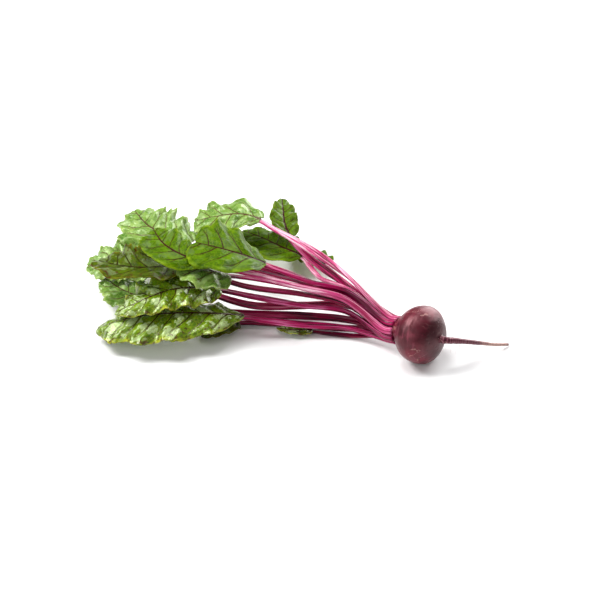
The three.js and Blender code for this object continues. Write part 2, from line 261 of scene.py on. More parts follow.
class Line:
    """A smooth line through points, read by the distance along it."""

    def __init__(self, points, samples=1200):
        ends = [2 * points[0] - points[1], *points, 2 * points[-1] - points[-2]]
        spans = len(points) - 1
        self.points = []
        for i in range(samples + 1):
            place = i * spans / samples
            k = min(int(place), spans - 1)
            self.points.append(between(*ends[k:k + 4], place - k))
        self.distance = [0.0]
        for a, b in zip(self.points, self.points[1:]):
            self.distance.append(self.distance[-1] + (b - a).length)
        self.length = self.distance[-1]
        self.samples, self.spans = samples, spans

    def distance_to(self, point_index):
        return self.distance[round(point_index / self.spans * self.samples)]

    def at(self, distance):
        d = min(self.length, max(0.0, distance))
        i = max(1, bisect.bisect_left(self.distance, d))
        share = (d - self.distance[i - 1]) / (self.distance[i] - self.distance[i - 1])
        return self.points[i - 1].lerp(self.points[i], share)

    def tangent(self, distance, reach=1.5):
        return (self.at(distance + reach) - self.at(distance - reach)).normalized()


bent = Line([Vector((0, 0, 0)), Vector((9, 1, 0)), Vector((20, 0, 0))])
print("a bent line of three points:", round(bent.length, 1), "mm")

# %% [markdown]
# ## Skins from a rolled grid
#
# A root or a stalk is a tube whose outline changes all the way along. The quickest clean mesh for
# it is a flat grid that is rolled up: each vertex knows its share of the length and of the turn,
# and is moved to where that share lies on the plant. The two long edges then meet and are merged,
# and the open ends are filled. The grid's UV map survives this, without a seam that jumps.

# %% Roll and bend a grid
MERGE_DISTANCE = 1e-7


def close_tubes(bm):
    """Merges the long edges of rolled grids, fills their ends and turns the faces outwards."""
    bmesh.ops.remove_doubles(bm, verts=bm.verts, dist=MERGE_DISTANCE)
    bmesh.ops.holes_fill(bm, edges=[edge for edge in bm.edges if edge.is_boundary], sides=0)
    bmesh.ops.recalc_face_normals(bm, faces=bm.faces)


def shaped_grid(rows, columns, place, tube, size_cm):
    """A grid bent by place(share along, share across), with its UV map in centimetres."""
    bm = bmesh.new()
    uv = bm.loops.layers.uv.new("skin")
    bmesh.ops.create_grid(bm, x_segments=rows, y_segments=columns, size=0.5, calc_uvs=True)
    for face in bm.faces:
        for loop in face.loops:
            share = loop[uv].uv
            loop[uv].uv = (share.x * size_cm[0], share.y * size_cm[1])
    for vert in bm.verts:
        vert.co = place(vert.co.x + 0.5, vert.co.y + 0.5) * MM
    if tube:
        close_tubes(bm)
    return bm


def finish_piece(bm, name, *materials, stands_for=None, slot=None):
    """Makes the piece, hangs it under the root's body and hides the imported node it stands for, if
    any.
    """
    mesh = bpy.data.meshes.new(name)
    for face in bm.faces:
        face.smooth = True
    bm.to_mesh(mesh)
    bm.free()
    piece = bpy.data.objects.new(name, mesh)
    bpy.context.collection.objects.link(piece)
    for material in materials:
        mesh.materials.append(material)
    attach(piece, "root")
    if stands_for:
        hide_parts(stands_for)
    return piece


print("grid helpers: close_tubes, shaped_grid, finish_piece")

# %% [markdown]
# ## The root's colour
#
# A beetroot's skin is a thin, dry cork over dark red flesh. It is wine-red, with almost black
# clouds and faint pale growth rings where the root swelled unevenly. The clouds are noise at three
# sizes. The rings need the distance along the root, so each point of the mesh carries it in
# millimetres under the name "reach".

# %% Cork colours
CORK_DARK, CORK_RED, CORK_CLOUD = "#360210", "#6e0a26", "#28040e"
CORK_DUST, CORK_RING = "#8a3448", "#9a4c5e"
RING_WAVE, RING_WANDER = 0.9, 22.0


def cork_colour(tree, place, reach, fine, broad):
    cloud = add(tree, "TexNoise", Vector=place, Scale=42.0, Detail=5.0, Roughness=0.6).outputs["Fac"]
    base = blend(tree, band(tree, broad, 0.36, 0.64), CORK_DARK, CORK_RED)
    base = blend(tree, band(tree, cloud, 0.48, 0.64, 0.62), base, CORK_CLOUD)
    base = blend(tree, band(tree, fine, 0.5, 0.75, 0.4), base, CORK_DUST)
    # The broad noise pulls the growth rings out of true.
    phase = maths(tree, "ADD", times(tree, reach, RING_WAVE), times(tree, broad, RING_WANDER))
    ring = band(tree, maths(tree, "SINE", phase), 0.5, 1.0)
    ring = times(tree, ring, band(tree, cloud, 0.5, 0.62))
    return blend(tree, times(tree, ring, 0.22), base, CORK_RING)


print("cork colours ready")

# %% [markdown]
# ## Scratches and pores
#
# Washing and soil leave fine pale scratches on the cork. A thin band around one value of a twisted
# noise gives such lines, and a coarser noise lets them show only here and there. The pores are the
# dark centres of Voronoi cells. They are gathered in patches, and around the base of the taproot,
# where the skin is creased and soil stays.

# %% Marks on the cork
LINE_VALUE = 0.52


def scratches(tree, place, where):
    wander = add(tree, "TexNoise", Vector=place, Scale=46.0, Detail=3.0, Distortion=1.6).outputs["Fac"]
    contour = maths(tree, "ABSOLUTE", maths(tree, "SUBTRACT", wander, LINE_VALUE))
    return times(tree, band(tree, contour, 0.014, 0.004), band(tree, where, 0.45, 0.55))


def pores(tree, place, where, at_base):
    dots = add(tree, "TexVoronoi", Vector=place, Scale=230.0).outputs["Distance"]
    patches = maths(tree, "MAXIMUM", band(tree, where, 0.5, 0.6), times(tree, at_base, 0.9))
    return times(tree, band(tree, dots, 0.36, 0.12), patches)


print("scratches and pores ready")

# %% [markdown]
# ## The taproot's colours
#
# The taproot is purple and ringed with creases and pale ridges, as if it had been squeezed
# together like a sock, and the creases are darkened with painted shade. Towards its tip it turns
# tan, and the torn end is dark. The rings are a sine wave along the reach, made uneven by fine
# noise.

# %% Taproot rings
TAPROOT_FOOT = 24.0
# The crease colour is painted shade in the creases of the rings.
TAPROOT_PURPLE, TAPROOT_RIDGE, TAPROOT_CREASE_SHADE = "#4c1a2c", "#9c6272", "#2a0c16"
TIP_TAN, TIP_TORN = "#cfaa9c", "#4e2a2c"


def taproot_colour(tree, base, reach, fine):
    """The colour with the taproot laid over it, and the mask of the creases."""
    on_taproot = band(tree, reach, TAPROOT_FOOT, TAPROOT_FOOT + 5)
    phase = maths(tree, "ADD", times(tree, reach, 2.4), times(tree, fine, 9.0))
    folds = maths(tree, "SINE", phase)
    toward_tip = maths(tree, "ADD", reach, times(tree, maths(tree, "SUBTRACT", fine, 0.5), 40.0))
    crease = times(tree, band(tree, folds, 0.1, 0.85), on_taproot)
    ridge = times(tree, band(tree, folds, -0.4, -0.95), on_taproot)
    tan = band(tree, toward_tip, 70.0, 92.0, 0.85)
    torn = band(tree, toward_tip, 106.0, 116.0, 0.7)
    base = blend(tree, times(tree, on_taproot, 0.8), base, TAPROOT_PURPLE)
    base = blend(tree, times(tree, ridge, 0.4), base, TAPROOT_RIDGE)
    base = blend(tree, tan, base, TIP_TAN)
    # Painted shade darkens the creases of the rings.
    base = blend(tree, times(tree, crease, 0.65), base, TAPROOT_CREASE_SHADE)
    return blend(tree, torn, base, TIP_TORN), crease


print("taproot rings ready")

# %% [markdown]
# ## The finished skin
#
# The parts are laid over each other: cork, scratches, pores, a painted shade that darkens the crease
# where the taproot leaves the bulb, then the taproot. The cork has a dull, silky shine, and its
# highlight is tinted by the red below it.
# The same masks press the scratches and pores in as relief.

# %% Root skin
# The last of these colours is painted shade for the crease at the base of the taproot.
SCRATCH_TAN, PORE_DARK, TAPROOT_BASE_SHADE = "#b88a80", "#18050a", "#16040a"


def root_skin():
    # Dull wine-red cork: a soft pink highlight, broken by scratches, pores and growth rings.
    material, tree, shader = new_finish("corky_beetroot_skin")
    place = add(tree, "TexCoord").outputs["Object"]
    reach = add(tree, "Attribute", {"attribute_name": "reach"}).outputs["Fac"]
    fine = add(tree, "TexNoise", Vector=place, Scale=90.0, Detail=6.0, Roughness=0.65).outputs["Fac"]
    broad = add(tree, "TexNoise", Vector=place, Scale=17.0, Detail=4.0, Roughness=0.55).outputs["Fac"]
    where = add(tree, "TexNoise", Vector=place, Scale=31.0, Detail=1.0).outputs["Fac"]
    at_base = times(tree, band(tree, reach, 13.0, 22.0), band(tree, reach, 36.0, 27.0))
    scratch = scratches(tree, place, where)
    pore = pores(tree, place, where, at_base)
    base = cork_colour(tree, place, reach, fine, broad)
    base = blend(tree, times(tree, scratch, 0.6), base, SCRATCH_TAN)
    base = blend(tree, times(tree, pore, 0.8), base, PORE_DARK)
    # Painted shade: the crease where the taproot leaves the bulb is darkened almost to black.
    base = blend(tree, times(tree, at_base, 0.8), base, TAPROOT_BASE_SHADE)
    base, crease = taproot_colour(tree, base, reach, fine)
    shader.inputs["Specular IOR Level"].default_value = 0.7
    shader.inputs["Specular Tint"].default_value = linear("#ffb8be")
    dull = add(tree, "MapRange", Value=fine, To_Min=0.27, To_Max=0.5).outputs["Result"]
    tree.links.new(dull, shader.inputs["Roughness"])
    lines = maths(tree, "ADD", scratch, crease)
    pressed = maths(tree, "ADD", times(tree, pore, 0.5), times(tree, lines, 0.4))
    height = maths(tree, "SUBTRACT", times(tree, fine, 0.5), pressed)
    dress(tree, shader, base, height, strength=0.55, depth_mm=0.7)
    return material


ROOT_SKIN = root_skin()
print("finish:", ROOT_SKIN.name, "with", len(ROOT_SKIN.node_tree.nodes), "nodes")

# %% [markdown]
# ## The root's line and girth
#
# The root has an axis, tipped up a little towards the taproot, and the taproot bends down from its
# end to the table. Its girth is that of an ellipse, which blends into the neck on one side and into
# the thinning taproot on the other.

# %% Line and girth of the root
BULB_RADIUS, BULB_HALF_LENGTH, BULB_HEIGHT = 31.5, 25.5, 30.75
ROOT_YAW, ROOT_PITCH = -14, 12
NECK_RADIUS, NECK_REACH, NECK_ROUNDING = 14.5, 28.0, 4.0
TAPROOT_START, TAPROOT_START_RADIUS, TAPROOT_TIP_RADIUS = 18.0, 6.0, 0.9
TAPROOT_THINNING, BLEND, TRIM = 0.42, 2.5, 0.3
TAPROOT_LINE = [(28.5, -5.8, 35.8), (37, 2, 32.6), (48, 16, 25.5),
                (59, 31.5, 17), (69, 47, 8.8), (77, 61.5, 2.4)]

YAW, PITCH = radians(ROOT_YAW), radians(ROOT_PITCH)
AXIS = Vector((cos(YAW) * cos(PITCH), sin(YAW) * cos(PITCH), sin(PITCH)))
NEAR_SIDE = AXIS.cross(UP).normalized()
TOP_SIDE = NEAR_SIDE.cross(AXIS)


def on_axis(reach):
    return Vector((0, 0, BULB_HEIGHT)) + AXIS * reach


ROOT_LINE = Line([on_axis(-NECK_REACH), on_axis(0), on_axis(20), *map(Vector, TAPROOT_LINE)])
TIP_REACH = ROOT_LINE.length - NECK_REACH


def root_radius(reach):
    """Half the girth: the larger of bulb and neck or taproot, with a rounded change between."""
    bulb = BULB_RADIUS * sqrt(max(0.0, 1 - (reach / BULB_HALF_LENGTH) ** 2))
    rounding = ease((NECK_ROUNDING - NECK_REACH - reach) / NECK_ROUNDING)
    neck = NECK_RADIUS * mix(1, 0.88, rounding) if reach < 0 else 0
    thin = clamp01((reach - TAPROOT_START) / (TIP_REACH - TAPROOT_START)) ** TAPROOT_THINNING
    taproot = mix(TAPROOT_START_RADIUS, TAPROOT_TIP_RADIUS, thin) if reach > 0 else 0
    other = max(neck, taproot)
    return (bulb + other + sqrt((bulb - other) ** 2 + BLEND ** 2)) / 2 - TRIM


print("from the middle of the root to the tip:", round(TIP_REACH), "mm")

# %% [markdown]
# ## The root's skin, bump by bump
#
# No root is turned on a lathe. Five and three blunt lobes run around it, broad and small dents are
# noise pushed along the radius, wrinkles run round the taproot, and old leaf bases stand as lobes
# around the neck. Where it rests on the table the skin is pressed flat.

# %% Point on the root
BULB_LOBES, LEAF_BASE_HEIGHT = 0.012, 1.1


def root_frames(steps):
    """Centre and the two directions across the root at even steps, turned as little as possible."""
    across, frames = NEAR_SIDE.copy(), []
    for i in range(steps + 1):
        distance = ROOT_LINE.length * i / steps
        along = ROOT_LINE.tangent(distance)
        across = (across - along * across.dot(along)).normalized()
        frames.append((ROOT_LINE.at(distance), across.copy(), across.cross(along)))
    return frames


def root_point(share, turn_share, frames):
    turn = 2 * pi * turn_share
    reach = share * ROOT_LINE.length - NECK_REACH
    centre, across, over = frames[round(share * (len(frames) - 1))]
    outwards = across * cos(turn) + over * sin(turn)
    radius = root_radius(reach) * (1 + BULB_LOBES * (sin(3 * turn + 0.8) + 0.7 * sin(5 * turn + 2)))
    point = centre + outwards * radius
    on_taproot = ease((reach - TAPROOT_FOOT) / 8)
    dents = 0.7 * noise.noise(point / 17) + 0.28 * noise.noise(point / 6)
    ring_place = Vector((reach / 2.6, cos(turn) * 0.8, sin(turn) * 0.8))
    wrinkles = mix(0.16, 0.42 * min(1.0, radius / 3), on_taproot) * noise.noise(ring_place)
    leaf_bases = LEAF_BASE_HEIGHT * abs(sin(4.5 * turn + 0.4)) * ease((-reach - 21) / 4)
    point += outwards * (mix(dents, 0.16 * dents, on_taproot) + wrinkles + leaf_bases)
    return Vector((point.x, point.y, max(0.0, point.z)))


print("top of the root:", [round(c, 1) for c in root_point(0.2, 0.25, root_frames(100))])

# %% [markdown]
# ## One skin from neck to tip
#
# The root grew as one piece, so it is one rolled grid, fine enough for the wrinkles of the taproot.
# After it is made, each point is given its reach, which the finish reads.

# %% Make the root
def make_root(steps=300, sides=128, girth_cm=19.0):
    frames = root_frames(steps)
    size_cm = (ROOT_LINE.length / 10, girth_cm)
    bm = shaped_grid(steps, sides, lambda u, v: root_point(u, v, frames), True, size_cm)
    reach = bm.verts.layers.float.new("reach")
    uv = bm.loops.layers.uv["skin"]
    for face in bm.faces:
        for loop in face.loops:
            loop.vert[reach] = loop[uv].uv.x * 10 - NECK_REACH
    return finish_piece(bm, "root_with_taproot", ROOT_SKIN, stands_for="root", slot="root_skin")


print("root:", len(make_root().data.polygons), "faces")

# %% [markdown]
# ## Rootlets
#
# Most of the fine side roots tear off when a beetroot is pulled. The few that stay are thin dry
# threads along the taproot. Each is a narrow grid rolled into a cone of five sides, round a line
# that bends away from the taproot and down towards the table.

# %% Grow the rootlets
ROOTLET_LENGTH, ROOTLET_SPREAD, ROOTLET_SINK = 4, 6, 0.3
ROOTLET_RADIUS, ROOTLET_TIP_RADIUS = 0.24, 0.06
ROOTLET_DROOP, ABOVE_TABLE = 0.45, 0.05


def rootlet_skin():
    # Dry fibre: matt threads that change from red-brown to tan.
    material, tree, shader = new_finish("dry_rootlet_fibre")
    place = add(tree, "TexCoord").outputs["Object"]
    patch = add(tree, "TexNoise", Vector=place, Scale=300.0, Detail=3.0).outputs["Fac"]
    base = blend(tree, band(tree, patch, 0.4, 0.62), "#6e4046", "#c2a090")
    shader.inputs["Roughness"].default_value = 0.7
    dress(tree, shader, base, patch, strength=0.3, depth_mm=0.2)
    return material


def make_rootlets(count=22, steps=300):
    bm = bmesh.new()
    frames = root_frames(steps)
    for i in range(count):
        # Odd fractions of the number spread the rootlets without a pattern.
        reach = 25 + (TIP_REACH - 30) * ((i * 0.618) % 1) ** 1.2
        share = (reach + NECK_REACH) / ROOT_LINE.length
        centre, across, over = frames[round(share * steps)]
        turn = 2.4 * i + 0.7
        out = across * cos(turn) + over * sin(turn)
        along = ROOT_LINE.tangent(reach + NECK_REACH)
        length = ROOTLET_LENGTH + ROOTLET_SPREAD * ((i * 0.37) % 1)
        foot = centre + out * (root_radius(reach) - ROOTLET_SINK)
        lean = out + along * (0.9 * sin(3.1 * i) + 0.5) + UP.cross(out) * (0.6 * sin(1.7 * i))
        for vert in bmesh.ops.create_grid(bm, x_segments=7, y_segments=5, size=0.5)["verts"]:
            share_out, round_it = vert.co.x + 0.5, 2 * pi * vert.co.y
            seeds = [Vector((i * 3.1, share_out * 1.6, k + 0.4)) for k in (0, 1, 2)]
            wave = Vector([noise.noise(seed) for seed in seeds]) * share_out * 2
            droop = UP * (ROOTLET_DROOP * length * share_out ** 2)
            path = foot + lean.normalized() * (length * share_out) - droop + wave
            radius = mix(ROOTLET_RADIUS, ROOTLET_TIP_RADIUS, share_out)
            point = path + (across * cos(round_it) + over * sin(round_it)) * radius
            vert.co = Vector((point.x, point.y, max(ABOVE_TABLE, point.z))) * MM
    close_tubes(bm)
    return finish_piece(bm, "rootlets", rootlet_skin())


print("rootlets:", len(make_rootlets().data.polygons), "faces")

# %% [markdown]
# ## Stalks
#
# A leaf stalk of a beetroot is crisp and ribbed like thin celery, with a shallow groove along its
# upper face. Its colour is a stack of lengthwise streaks from deep crimson to pale pink, and the
# pale streaks are partly a painted highlight. Inner, younger stalks are darker, and the stalks that
# lie on top of the bundle are pale, partly their own pink and partly a painted sheen. The streaks
# are noise that is stretched along U and fine across V. A second, finer noise draws the fibres:
# thin pale and dark lines on the ribs.

# %% Stalk finishes
def streaks(tree, uv, along, across, **settings):
    """Noise that is drawn out along the stalk."""
    drawn = add(tree, "Mapping", Vector=uv, Scale=(along, across, 1.0)).outputs["Vector"]
    return add(tree, "TexNoise", Vector=drawn, Scale=1.0, **settings).outputs["Fac"]


def stalk_finish(name, dark, middle, pale, share_dark, share_pale):
    # Crisp wet skin: lengthwise streaks of red. The pale pink streaks are partly the stalk's own
    # colour and partly a painted highlight on each rib.
    material, tree, shader = new_finish(name)
    uv = add(tree, "UVMap", {"uv_map": "skin"}).outputs["UV"]
    streak = streaks(tree, uv, 0.13, 4.6, Detail=5.0, Roughness=0.62)
    place = add(tree, "TexCoord").outputs["Object"]
    patch = add(tree, "TexNoise", Vector=place, Scale=16.0, Detail=2.0).outputs["Fac"]
    tone = maths(tree, "ADD", streak, times(tree, maths(tree, "SUBTRACT", patch, 0.5), 0.55))
    base = blend(tree, band(tree, tone, share_dark - 0.05, share_dark + 0.05), dark, middle)
    # Pale pink where the streaks run high: partly the stalk's own colour, partly a painted highlight.
    base = blend(tree, band(tree, tone, share_pale - 0.05, share_pale + 0.07), base, pale)
    fibre = streaks(tree, uv, 0.09, 13.0, Detail=2.0)
    base = blend(tree, band(tree, fibre, 0.56, 0.66, 0.55), base, pale)
    base = blend(tree, band(tree, fibre, 0.42, 0.34, 0.6), base, dark)
    shader.inputs["Roughness"].default_value = 0.28
    shader.inputs["Specular IOR Level"].default_value = 0.3
    shader.inputs["Specular Tint"].default_value = linear("#ffc0d4")
    dress(tree, shader, base, streak, strength=0.55, depth_mm=0.7)
    return material


STALK_FINISHES = {
    "deep": stalk_finish("crisp_stalk_crimson", "#28010f", "#760430", "#b03468", 0.47, 0.66),
    "rose": stalk_finish("crisp_stalk_magenta", "#42021a", "#980448", "#d06c9c", 0.45, 0.62),
    # The pale finish goes to stalks lying on top of the bundle: partly their own pale pink, partly a
    # painted sheen.
    "pale": stalk_finish("crisp_stalk_pink", "#82103c", "#b83a70", "#f0c4d4", 0.42, 0.56),
}
print("stalk finishes:", ", ".join(STALK_FINISHES))

# %% [markdown]
# ## The veins of a leaf
#
# Side veins branch off the midrib and fork on their way to the margin, stained with the root's red.
# The blade carries three numbers for them at each point: "vein" counts the side veins and is whole
# on each one, "rib" is the distance from the midrib in widths of the midrib, and "edge" runs from 0
# at the midrib to 1 at the margin. A line appears where the count is near a whole number. Two
# shifted copies of the count, which part from it on the way out, make the forks.

# %% Vein pattern
VEIN_WIDTHS, FORK_WIDTHS = (0.055, 0.018), (0.03, 0.014)


def off_middle(tree, count):
    """0 halfway between two side veins, 0.5 on each of them."""
    return maths(tree, "ABSOLUTE", maths(tree, "SUBTRACT", maths(tree, "FRACT", count), 0.5))


def vein_lines(tree, count, edge, widths):
    """A line at each whole count, with its widths at the midrib and at the margin."""
    width = add(tree, "MapRange", Value=edge, To_Min=widths[0], To_Max=widths[1])
    away = maths(tree, "SUBTRACT", 0.5, off_middle(tree, count))
    return band(tree, maths(tree, "DIVIDE", away, width.outputs["Result"]), 1.3, 0.4)


def vein_pattern(tree, edge):
    rib = add(tree, "Attribute", {"attribute_name": "rib"}).outputs["Fac"]
    count = add(tree, "Attribute", {"attribute_name": "vein"}).outputs["Fac"]
    early = maths(tree, "ADD", count, band(tree, edge, 0.3, 1.1, 0.42))
    late = maths(tree, "ADD", count, band(tree, edge, 0.5, 1.15, -0.5))
    early, late = (vein_lines(tree, fork, edge, FORK_WIDTHS) for fork in (early, late))
    forks = times(tree, maths(tree, "MAXIMUM", early, late), 0.8)
    side = maths(tree, "MAXIMUM", vein_lines(tree, count, edge, VEIN_WIDTHS), forks)
    side = times(tree, side, band(tree, edge, 1.0, 0.6))
    return maths(tree, "MAXIMUM", side, band(tree, rib, 1.15, 0.75))


print("vein pattern ready")

# %% [markdown]
# ## The green between the veins
#
# The green is mottled, yellower at the margin, and crossed by a net of small veins in cells of
# about 4 mm, which a Voronoi texture gives in one node. U and V are centimetres on the blade. Older
# leaves also have brown specks. Glossy leaves get a painted sheen: pale grey-green patches that end
# at the side veins and stand for the lamps' glare on the wax. Each cell of the net bulges a little,
# so light glances off it.

# %% Leaf finish
# The first colour is a painted sheen; the others are brown specks and the tint of real highlights.
PAINTED_SHEEN_GREEN, SPECK, LEAF_SHEEN = "#b4c88e", "#45200f", "#e6f8c8"
NET_SCALE, NET_BULGE = 2.6, 1.1


def painted_sheen_patches(tree, uv, edge, net):
    """Clouds of painted sheen that stop short of the veins, of the net and of the margin."""
    cloud = add(tree, "TexNoise", Vector=uv, Scale=0.5, Detail=3.0, Roughness=0.5).outputs["Fac"]
    count = add(tree, "Attribute", {"attribute_name": "vein"}).outputs["Fac"]
    off = off_middle(tree, count)
    field = times(tree, band(tree, cloud, 0.52, 0.55), band(tree, off, 0.44, 0.38))
    field = times(tree, field, band(tree, net, 0.0, 0.05))
    return times(tree, field, band(tree, edge, 0.95, 0.75))


def specks(tree, uv, edge):
    """Small spots, more of them towards the margin."""
    blotch = add(tree, "TexNoise", Vector=uv, Scale=2.6, Detail=6.0, Roughness=0.72).outputs["Fac"]
    blotch = maths(tree, "ADD", blotch, band(tree, edge, 0.3, 1.0, 0.07))
    return band(tree, blotch, 0.59, 0.63)


def leaf_finish(name, deep, fresh, margin, vein, roughness, shine, vein_share=1.0, spots=0.0,
                painted_sheen_share=0.0):
    material, tree, shader = new_finish(name)
    uv = add(tree, "UVMap", {"uv_map": "skin"}).outputs["UV"]
    edge = add(tree, "Attribute", {"attribute_name": "edge"}).outputs["Fac"]
    patch = add(tree, "TexNoise", Vector=uv, Scale=0.9, Detail=5.0, Roughness=0.62).outputs["Fac"]
    base = blend(tree, band(tree, patch, 0.34, 0.66), deep, fresh)
    yellow = maths(tree, "ADD", edge, times(tree, maths(tree, "SUBTRACT", patch, 0.5), 0.7))
    base = blend(tree, band(tree, yellow, 0.84, 1.1, 0.75), base, margin)
    cells = add(tree, "TexVoronoi", {"feature": "DISTANCE_TO_EDGE"}, Vector=uv, Scale=NET_SCALE)
    net = cells.outputs["Distance"]
    base = blend(tree, band(tree, net, 0.08, 0.01, 0.3), base, margin)
    if painted_sheen_share:
        # Painted sheen: pale grey-green patches that stand for the lamps' glare on the wax.
        base = blend(tree, times(tree, painted_sheen_patches(tree, uv, edge, net), painted_sheen_share), base, PAINTED_SHEEN_GREEN)
    veins = vein_pattern(tree, edge)
    base = blend(tree, times(tree, veins, vein_share), base, vein)
    if spots:
        base = blend(tree, times(tree, specks(tree, uv, edge), spots), base, SPECK)
    shader.inputs["Roughness"].default_value = roughness
    shader.inputs["Specular IOR Level"].default_value = shine
    shader.inputs["Specular Tint"].default_value = linear(LEAF_SHEEN)
    fine = add(tree, "TexNoise", Vector=uv, Scale=6.0, Detail=4.0, Roughness=0.6).outputs["Fac"]
    cushion = times(tree, maths(tree, "MINIMUM", net, 0.4), NET_BULGE)
    bulge = maths(tree, "SUBTRACT", cushion, times(tree, veins, 0.5))
    height = maths(tree, "ADD", bulge, times(tree, fine, 0.4))
    dress(tree, shader, base, height, strength=0.5, depth_mm=0.8)
    return material


print("leaf finish ready")

# %% [markdown]
# ## Five greens and an underside
#
# The leaves of one beetroot differ. Young ones are smooth and a clear green, full-grown ones darker
# with a few specks, and old ones olive and dull, or yellowing, blistered and very glossy. Leaves
# that lay at the back are pale and grey-green. Every underside is matt and paler, with redder
# veins.

# %% Leaf finishes
# A finish's sheen share paints pale patches of sheen into its green: a painted reflection of the
# lamps.
UPPER = {
    # Clear, even green with little gloss.
    "fresh": leaf_finish("waxy_leaf_fresh", "#304c00", "#4c6e00", "#80981a", "#34060e",
                         roughness=0.32, shine=0.08, painted_sheen_share=0.08),
    # Deeper green with the first specks.
    "mature": leaf_finish("waxy_leaf_mature", "#344e04", "#50700a", "#7c8c22", "#30060e",
                          roughness=0.3, shine=0.12, spots=0.4),
    # Dull olive, browned in many places.
    "dark": leaf_finish("waxy_leaf_dark", "#2a3c06", "#465c06", "#6e6a12", "#22040a",
                        roughness=0.32, shine=0.05, spots=0.9, painted_sheen_share=0.2),
    # Yellow at the margin and wet-looking, with bright flecks on every blister.
    "yellow": leaf_finish("waxy_leaf_yellowing", "#426002", "#688a08", "#b2b02c", "#3a060e",
                          roughness=0.21, shine=0.85, spots=0.9, painted_sheen_share=0.8),
    # Pale grey-green, like the bloom on a cabbage, with patches of painted sheen.
    "mint": leaf_finish("waxy_leaf_pale", "#46701c", "#7a9a42", "#a8bc6a", "#481018",
                        roughness=0.24, shine=0.6, vein_share=0.9, spots=0.3, painted_sheen_share=0.3),
}
# Matt pale green with red veins that stand out.
UNDER = leaf_finish("matt_leaf_underside", "#5c7c26", "#809c42", "#a4b466", "#6c1430",
                    roughness=0.5, shine=0.3, vein_share=0.9)
print("leaf finishes:", ", ".join(UPPER))

# %% [markdown]
# ## The leaves' shape
#
# The table gives each leaf's line from the neck to its tip, as measured: the seat is where its
# stalk leaves the neck, and the stalk and blade points are in millimetres. Width, fold, curl, roll
# and the waves of the margin say how the blade lies on that line. Upper and flesh name its
# finishes. What an entry leaves out has the value that most leaves share.

